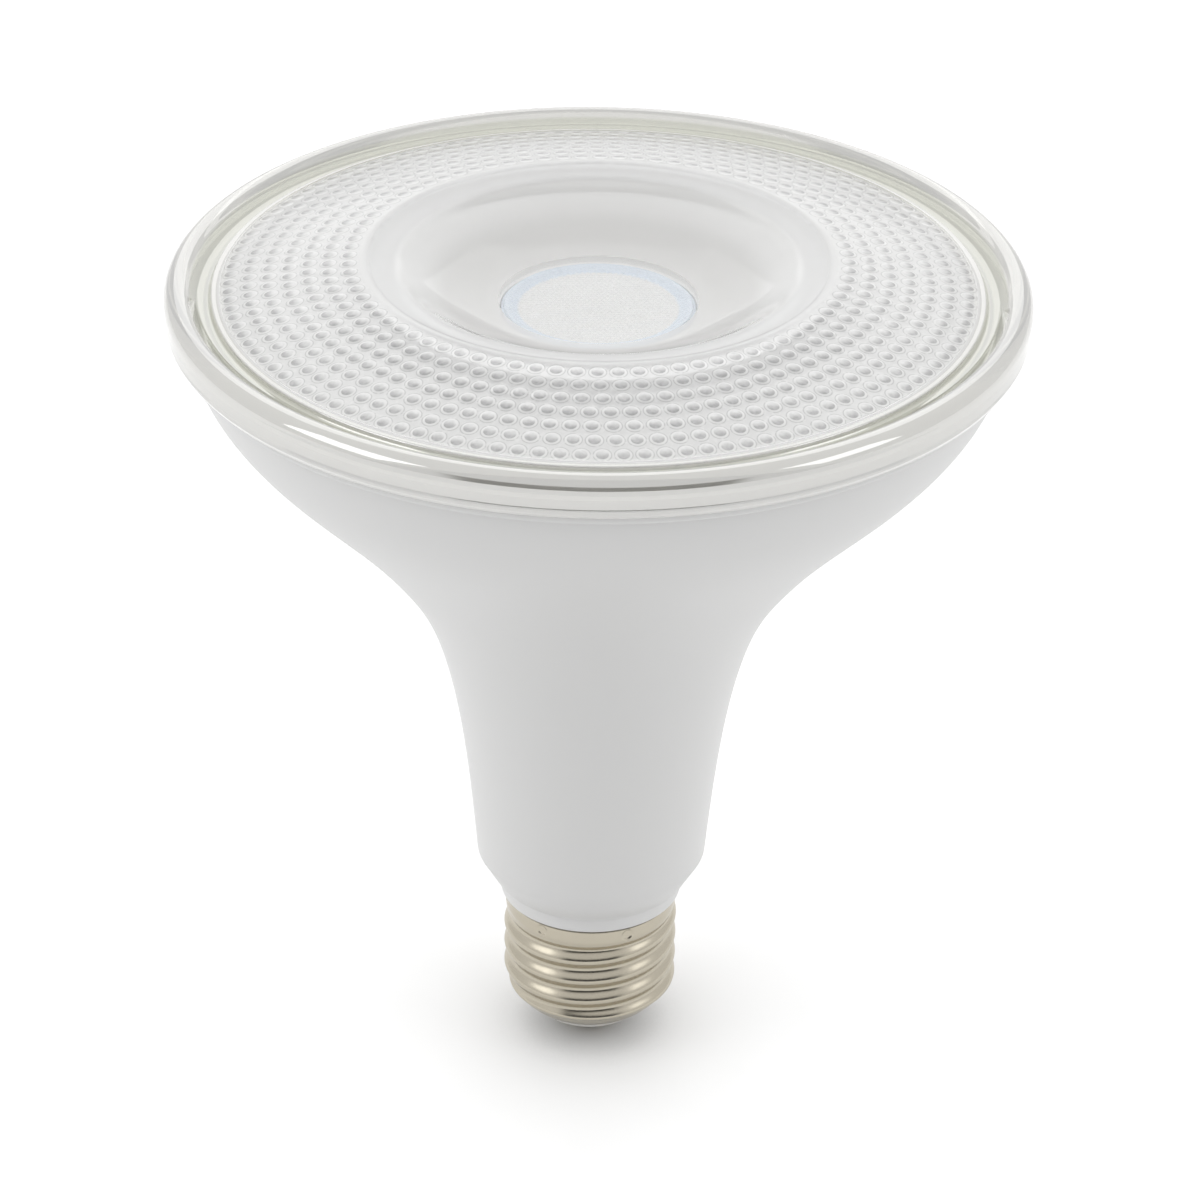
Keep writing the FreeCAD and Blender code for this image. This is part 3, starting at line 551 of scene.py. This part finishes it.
def housing_piece():
    """White trumpet: outline spline, rim bead, land, inner wall at the wall's thickness square
    to the outline, neck, plain band and shoulder."""
    outline = spline(housing_outline, 7)
    way = np.gradient(outline, axis=0)
    way /= np.linalg.norm(way, axis=1, keepdims=True)
    inner = outline + housing_wall * np.stack([-way[:, 1], way[:, 0]], 1)
    kept = (inner[:, 1] > housing_wall_bottom) & (inner[:, 1] < housing_wall_top)
    inner = inner[kept][::-2]
    top = line((bead_radius - 0.4, 119.6), (bead_radius, 120.0), (bead_radius, land_level),
               (58.7, land_level), (58.7, 120.2), (57.9, 120.2), (57.9, land_level),
               (55.6, land_level), (55.6, 119.4), (54.0, 119.4), (54.0, 119.0),
               (inner[0, 0] + 0.1, housing_wall_top))
    low = line((15.4, 33.0), (9.8, 33.0), (9.8, 10.6), (11.5, 10.6), (11.5, 22.0),
               (12.55, 22.6), (12.55, 24.65), (13.65, 24.65), (13.65, 26.9), (14.8, 27.8))
    path = anticlockwise(softened(joined(outline, top, inner, low), 0.25))
    make_piece("housing_body", turned_rings(path, housing_columns), True, [HOUSING_PLASTIC],
               "housing_plastic", "housing")


def shell_radius(angle, height):
    """Outer radius of the rolled shell. A cosine waves once in each pitch and climbs a pitch in
    each turn. It fades out below the collar and above the lower lip, where the shell tapers."""
    mean = thread_crest_radius - thread_depth / 2
    above = smooth_step((height - collar_start) / thread_fade)
    taper = np.clip((taper_top - height) / taper_length, 0, 1) ** taper_power
    base = mean + (collar_radius - mean) * above - taper_depth * taper
    share = (smooth_step((thread_end - height) / thread_fade)
             * smooth_step((height - thread_start) / thread_fade))
    turns = (height - thread_first_crest) / thread_pitch - (angle / TURN + 0.25)
    wave = np.cos(TURN * turns)
    return base + thread_depth / 2 * share * wave


def punched(angle, height):
    """Depth of the crimp marks round the collar, each a small dish with a flat middle."""
    around = (angle - first_punch_angle) * punch_count / TURN
    across = (around - np.round(around)) * TURN / punch_count * collar_radius
    distance = np.hypot(across, height - punch_level)
    return punch_depth * np.clip(1.4 - (distance / punch_radius) ** 4, 0, 1)


def shell_piece():
    """Thin screw shell: outer and inner surface over angle and height, joined at both ends."""
    angle = TURN * np.arange(shell_columns) / shell_columns
    out_height = np.linspace(shell_bottom, shell_top, shell_outer_rings)
    in_height = np.linspace(shell_top, shell_bottom, shell_inner_rings)
    height = np.concatenate([out_height, in_height])[:, None]
    inset = np.repeat([0.0, shell_wall], [shell_outer_rings, shell_inner_rings])[:, None]
    angle, height = np.broadcast_arrays(angle[None], height)
    radius = shell_radius(angle, height) - inset - punched(angle, height)
    points = np.stack([radius * np.cos(angle), radius * np.sin(angle), height], 2)
    make_piece("thread_shell", list(points), True, [SHELL_METAL], "shell_metal", "screw_shell",
               sharp=60.0)


def dome(radius):
    """Height of the field between the inner line and its edge, falling with the radius squared."""
    share = (radius ** 2 - inner_line_radius ** 2) / (field_radius ** 2 - inner_line_radius ** 2)
    return inner_line_level + (field_level - inner_line_level) * share


def dimples(radius, angle):
    """Height of the dimples. Each row of the field has some more than the row inside it, evenly
    round the circle. A dimple has a flat top and an edge that falls as a smooth step."""
    row = np.clip(np.round((radius - first_row_radius) / row_spacing), 0, row_count - 1)
    count = np.floor(first_row_dimples + dimples_gained * row)
    around = angle * count / TURN + row_turn * row
    middle = first_row_radius + row_spacing * row
    across = (around - np.round(around)) * TURN / count * middle
    inwards = dimple_radius - np.hypot(radius - middle, across)
    return dimple_height * smooth_step(inwards / dimple_bevel)


def lens_piece():
    """Clear front: floor and bowl, satin annulus, domed field of dimples with a lip, rounded
    step, valley, rim with a slope at 45 degrees and a round bead, skirt, locating rib and the
    smooth underside. The rings of the field have more columns than the others."""
    bowl = spline([(13.4, window_level), (16.5, 123.2), (20.0, 124.15), (24.0, 125.9),
                   (27.0, 127.8), (28.4, 128.55), (30.0, 128.9), (32.1, 129.33)], 5)
    floor = line((0, window_level), (5, window_level), (10, window_level))
    inner_line = line((32.25, inner_line_level), (inner_line_radius, inner_line_level))
    field_end = field_radius - lip_half_width
    lip_end = field_radius + lip_half_width
    field = np.linspace(inner_line_radius, field_end, field_rings)
    field = np.stack([field, dome(field)], 1)
    lip = arc((field_end, dome(field_end)), (field_radius, lip_level), (lip_end, field_level), 4)
    step = joined(line((lip_end, field_level), (53.75, 125.36)),
                  arc((53.75, 125.36), (53.93, 125.32), (54.03, 125.18), 4),
                  line((54.15, 124.9), (54.27, 124.62)),
                  arc((54.27, 124.62), (54.35, 124.56), (valley_radius, valley_level), 3))
    valley = arc((54.97, 124.54), (55.582, 124.662), (56.1, 125.007), 5)
    diagonal = rim_bead * math.sqrt(0.5)
    edge = arc((rim_radius - rim_bead - diagonal, rim_level + diagonal),
               (rim_radius - rim_bead, rim_level + rim_bead), (rim_radius, rim_level), 18)
    bead = arc((60.4, 122.45), (60.45, 121.9), (60.1, 121.4), 5)
    skirt = line((59.9, skirt_level), (57.2, skirt_level), (57.2, 122.8), (55.3, 122.8),
                 (55.3, 120.6), (54.5, 120.6), (54.5, 122.8))
    under = line((51.8, 123.35), (inner_line_radius, 127.45), (28.0, 125.8), (21.0, 122.15),
                 (15.6, underside_level), (8, underside_level), (0, underside_level))
    top = joined(floor, bowl, inner_line, field[1:], lip[1:], step[1:], valley, edge,
                 line((rim_radius, rim_bottom)), bead)
    path = np.concatenate([top, skirt, under])[::-1]
    on_top = np.arange(len(path)) >= len(skirt) + len(under)
    on_field = (on_top & (path[:, 0] > inner_line_radius + 0.05)
                & (path[:, 0] < field_end + 0.05))
    rings = turned_rings(path, np.where(on_field, field_columns, lens_columns))
    for ring, bumpy in zip(rings, on_field):
        if bumpy:
            angle = TURN * np.arange(len(ring)) / len(ring)
            ring[:, 2] += dimples(np.hypot(ring[0, 0], ring[0, 1]), angle)
    reach = (path[1:, 0] + path[:-1, 0]) / 2
    above = np.where(reach > field_radius, 2, np.where(reach > window_radius, 1, 0))
    below = np.where(reach > seat_radius, 3, 0)
    make_piece("lens_front", rings, False, [LENS_WINDOW, LENS_PLASTIC, LENS_RIM, LENS_SEAT],
               "lens_plastic", "front_lens", sharp=50.0, worn=np.where(on_top[1:], above, below))


def honeycomb(x, y):
    """Squared distance from the nearest point of a grid of triangles, in pitches."""
    nearest = np.full(x.shape, 9.0)
    for shift_x, shift_y in ((0, 0), (0.5, math.sqrt(0.75))):
        across = x / honeycomb_pitch - shift_x
        along = y / honeycomb_pitch - shift_y
        dx = across - np.round(across)
        dy = along - np.round(along / math.sqrt(3)) * math.sqrt(3)
        nearest = np.minimum(nearest, dx ** 2 + dy ** 2)
    return nearest


def collimator_piece():
    """Clear cone with a dished face. The face carries a honeycomb of small domes: each dome falls
    with the squared distance from its centre."""
    radius = np.linspace(0, collimator_radius, collimator_face_rings)
    dish = np.interp(radius, (0, collimator_flat_radius, collimator_radius),
                     (collimator_level, collimator_level, collimator_edge_level))
    face = np.stack([radius, dish], 1)
    rest = line((13.2, 121.2), (13.4, 120.7), (13.7, 120.7), (13.7, 119.7), (11.9, 119.7))
    cone = arc((11.9, 119.4), (9.64, 113.7), (5.6, 109.2), 8)
    well = joined(line((4.7, 109.2), (4.7, 114.2)), line((2.4, 114.8), (0, 115.0)))
    path = np.concatenate([face, rest, cone, well])[::-1]
    rings = turned_rings(path, collimator_columns)
    for ring in rings[-collimator_face_rings:]:
        x, y = ring[:, 0], ring[:, 1]
        inside = np.clip((honeycomb_radius - np.hypot(x, y)) / honeycomb_fade, 0, 1)
        ring[:, 2] += honeycomb_height * inside * (0.8 - 3 * honeycomb(x, y))
    make_piece("collimator_face", rings, False, [COLLIMATOR_PLASTIC], "collimator_plastic",
               "collimator_lens", sharp=50.0)


HOUSING_PLASTIC = plain_finish("housing_plastic", (0.81, 0.81, 0.805), 0.38, variation=0.015,
                               grain=2200.0, height=0.04)
SHELL_METAL = plain_finish("shell_metal", (0.50, 0.46, 0.375), 0.2, metallic=1.0, variation=0.08,
                           grain=1500.0, height=0.03)
LENS_WINDOW = clear_finish("lens_window", (0.99, 0.99, 0.987), 0.03, 1.0)
LENS_PLASTIC = clear_finish("lens_plastic", (0.92, 0.92, 0.917), 0.03, 0.45,
                            # Painted shade: the bowl is grey deep down and near white towards its
                            # edge, then comes the satin annulus
                            (0.0, 28.4, 0.6, (0.99, 0.99, 0.985), 0.05),
                            (0.0, 23.5, 2.5, (0.77, 0.765, 0.755), 0.05),
                            (28.4, 32.6, 0.6, (0.84, 0.84, 0.84), 0.2), dimpled=True)
LENS_RIM = clear_finish("lens_rim", (0.84, 0.83, 0.79), 0.03, 0.6,
                        (0.0, 53.15, 0.1, (0.99, 0.99, 0.99), 0.1),
                        (54.1, 57.0, 0.2, (0.60, 0.61, 0.47), 0.04),
                        Coat_Weight=1.0, Coat_IOR=3.6, Coat_Roughness=0.02)
LENS_SEAT = plain_finish("lens_seat", (0.84, 0.83, 0.80), 0.5)
COLLIMATOR_PLASTIC = clear_finish("collimator_plastic", (0.86, 0.86, 0.855), 0.2, 0.1,
                                  (11.3, 99.0, 0.3, (0.72, 0.81, 0.92), 0.2))

# Finishes of the pieces that keep their solids: nodes, colour, roughness, metallic
FINISHES = {
    "contact_metal": (("centre_contact",), (0.78, 0.72, 0.60), 0.22, 1.0),
    "insulator_plastic": (("base_insulator",), (0.74, 0.73, 0.70), 0.45, 0.0),
    "seal_rubber": (("seal_ring",), (0.75, 0.76, 0.72), 0.6, 0.0),
    "white_plastic": (("reflector_ring", "lens_holder", "wire_connector"),
                      (0.93, 0.93, 0.925), 0.5, 0.0),
    "led_board_finish": (("led_board",), (0.82, 0.82, 0.80), 0.4, 0.0),
    "pad_rubber": (("heat_pad",), (0.45, 0.48, 0.52), 0.8, 0.0),
    "led_carrier": (("led_array",), (0.80, 0.79, 0.74), 0.4, 0.0),
    "phosphor": (("phosphor_disc",), (0.86, 0.72, 0.18), 0.55, 0.0),
    "screw_steel": (("board_screws",), (0.66, 0.66, 0.67), 0.3, 1.0),
    "spun_aluminium": (("led_plate", "heat_sink"), (0.80, 0.80, 0.81), 0.35, 1.0),
    "sleeve_plastic": (("insulating_sleeve", "driver_cover"), (0.72, 0.72, 0.70), 0.5, 0.0),
    "circuit_board": (("driver_board",), (0.05, 0.25, 0.10), 0.4, 0.0),
    "coil_tape": (("transformer_coil",), (0.80, 0.62, 0.10), 0.35, 0.0),
    "ferrite": (("transformer_core", "filter_inductor"), (0.06, 0.06, 0.065), 0.5, 0.0),
    "capacitor_sleeve": (("input_capacitor", "output_capacitor"), (0.03, 0.04, 0.10), 0.3, 0.0),
    "film_box": (("film_capacitor",), (0.70, 0.45, 0.08), 0.35, 0.0),
    "black_resin": (("bridge_rectifier", "switching_chip"), (0.03, 0.03, 0.03), 0.55, 0.0),
    "resistor_coat": (("fuse_resistor",), (0.20, 0.42, 0.55), 0.45, 0.0),
    "varistor_coat": (("varistor_disc",), (0.05, 0.12, 0.45), 0.4, 0.0),
    "black_wire": (("live_wire", "negative_wire"), (0.02, 0.02, 0.02), 0.4, 0.0),
    "white_wire": (("neutral_wire",), (0.80, 0.80, 0.78), 0.4, 0.0),
    "red_wire": (("positive_wire",), (0.60, 0.03, 0.02), 0.4, 0.0),
}
for slot_name, (nodes, color, roughness, metallic) in FINISHES.items():
    finish = plain_finish(slot_name, color, roughness, metallic)
    for node in nodes:
        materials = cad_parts[node].data.materials
        if len(materials):
            materials[0] = finish
        else:
            materials.append(finish)

housing_piece()
shell_piece()
lens_piece()
collimator_piece()


def unit(azimuth, elevation):
    """Direction from the bulb: azimuth 0 is towards -Y, the photograph's front, and 90 is +X."""
    a, e = math.radians(azimuth), math.radians(elevation)
    return (math.sin(a) * math.cos(e), -math.cos(a) * math.cos(e), math.sin(e))


def studio_world():
    """White tent. The camera sees plain white. The object also sees the dim room behind the
    photograph's camera, low in front."""
    world = bpy.data.worlds.new("tent")
    bpy.context.scene.world = world
    world.use_nodes = True
    tree = world.node_tree
    background = tree.nodes["Background"]
    way = add(tree, "SeparateXYZ", {0: add(tree, "TexCoord").outputs["Generated"]})
    patch = ramp_between(tree, way.outputs["Y"], *room_front, 1.0, 0.0)
    aside = calc(tree, "ABSOLUTE", way.outputs["X"])
    for side, angles in ((aside, room_side_angles), (way.outputs["Z"], room_top_angles)):
        sines = [math.sin(math.radians(angle)) for angle in angles]
        patch = calc(tree, "MULTIPLY", patch, ramp_between(tree, side, *sines, 1.0, 0.0))
    dark = ramp_between(tree, patch, 0.0, 1.0, tent_level, room_level)
    camera = add(tree, "LightPath").outputs["Is Camera Ray"]
    level = add(tree, "Mix", {"Factor": camera, 2: dark, 3: 1.0}, data_type="FLOAT")
    tree.links.new(level.outputs[0], background.inputs["Strength"])
    background.inputs["Color"].default_value = (1, 1, 1, 1)


def softbox(name, azimuth, elevation, distance, side, power):
    """Square lamp that faces the bulb's upper half."""
    lamp = bpy.data.lights.new(name, "AREA")
    lamp.shape = "SQUARE"
    lamp.size = side
    lamp.energy = power
    box = bpy.data.objects.new(name, lamp)
    bpy.context.scene.collection.objects.link(box)
    way = np.array(unit(azimuth, elevation))
    box.location = way * distance + np.array(lamp_aim)
    right = np.cross([0, 0, 1], way)
    turned = Matrix.Identity(3)
    turned.col[2] = way
    turned.col[0] = right / np.linalg.norm(right)
    turned.col[1] = np.cross(way, turned.col[0])
    box.rotation_euler = turned.to_euler()


def studio_floor():
    """Pale floor. Its colour darkens as a painted shadow, and its plain white fades, where the
    object hides the open sky nearby, on top of the real shadow. The camera, the metal and the clear
    plastic see some plain white on top of its own colour, so that only the shadow is darker than
    the background."""
    mesh = bpy.data.meshes.new("floor")
    corners = [(x * floor_half, y * floor_half, 0) for x, y in ((-1, -1), (1, -1), (1, 1), (-1, 1))]
    mesh.from_pydata(corners, [], [(0, 1, 2, 3)])
    material = bpy.data.materials.new("floor_paper")
    material.use_nodes = True
    tree = material.node_tree
    shader = tree.nodes["Principled BSDF"]
    shader.inputs["Roughness"].default_value = 0.9
    shader.inputs["Specular IOR Level"].default_value = 0.0
    shader.inputs["Emission Color"].default_value = (1, 1, 1, 1)
    # Painted shadow: the floor's colour follows the occlusion
    open_sky = add(tree, "AmbientOcclusion", {"Distance": shadow_reach}, samples=8).outputs["AO"]
    paper = ramp_between(tree, open_sky, *painted_shadow_openness, *painted_shadow_tones)
    shade = add(tree, "CombineColor", {0: paper, 1: paper, 2: paper}).outputs[0]
    tree.links.new(shade, shader.inputs["Base Color"])
    path = add(tree, "LightPath")
    seen = path.outputs["Is Camera Ray"]
    for ray in ("Is Glossy Ray", "Is Transmission Ray"):
        seen = calc(tree, "MAXIMUM", seen, path.outputs[ray])
    # The plain white fades with the occlusion too, which deepens the painted shadow
    bright = ramp_between(tree, open_sky, *glow_openness, 0.0, glow_strength)
    tree.links.new(calc(tree, "MULTIPLY", seen, bright), shader.inputs["Emission Strength"])
    mesh.materials.append(material)
    floor = bpy.data.objects.new("floor", mesh)
    bpy.context.scene.collection.objects.link(floor)


def photo_camera():
    """Camera on the photograph's sight line to the rim, pitched so that the rim lies above the
    picture's middle, rolled, and shifted sideways by the axis's offset."""
    pitch = rim_elevation + math.atan(rim_above_middle / focal_pixels)
    right = np.array([1.0, 0.0, 0.0])
    up = np.array([0.0, math.sin(pitch), math.cos(pitch)])
    back = np.array([0.0, -math.cos(pitch), math.sin(pitch)])
    cosine, sine = math.cos(camera_roll), math.sin(camera_roll)
    data = bpy.data.cameras.new("camera")
    data.sensor_width = sensor_width
    data.lens = focal_pixels / image_side * sensor_width
    data.shift_x = axis_offset_pixels / image_side
    data.clip_start, data.clip_end = 0.01, 20.0
    camera = bpy.data.objects.new("camera", data)
    bpy.context.scene.collection.objects.link(camera)
    matrix = Matrix.Identity(4)
    matrix.col[0][:3] = cosine * right + sine * up
    matrix.col[1][:3] = cosine * up - sine * right
    matrix.col[2][:3] = back
    matrix.col[3][:3] = (0.0, -rim_distance * math.cos(rim_elevation),
                         rim_level * MM + rim_distance * math.sin(rim_elevation))
    camera.matrix_world = matrix
    bpy.context.scene.camera = camera


studio_world()
for lamp_name, lamp_values in lamps.items():
    softbox(lamp_name, *lamp_values)
studio_floor()
photo_camera()
bpy.context.scene.view_settings.view_transform = "Standard"
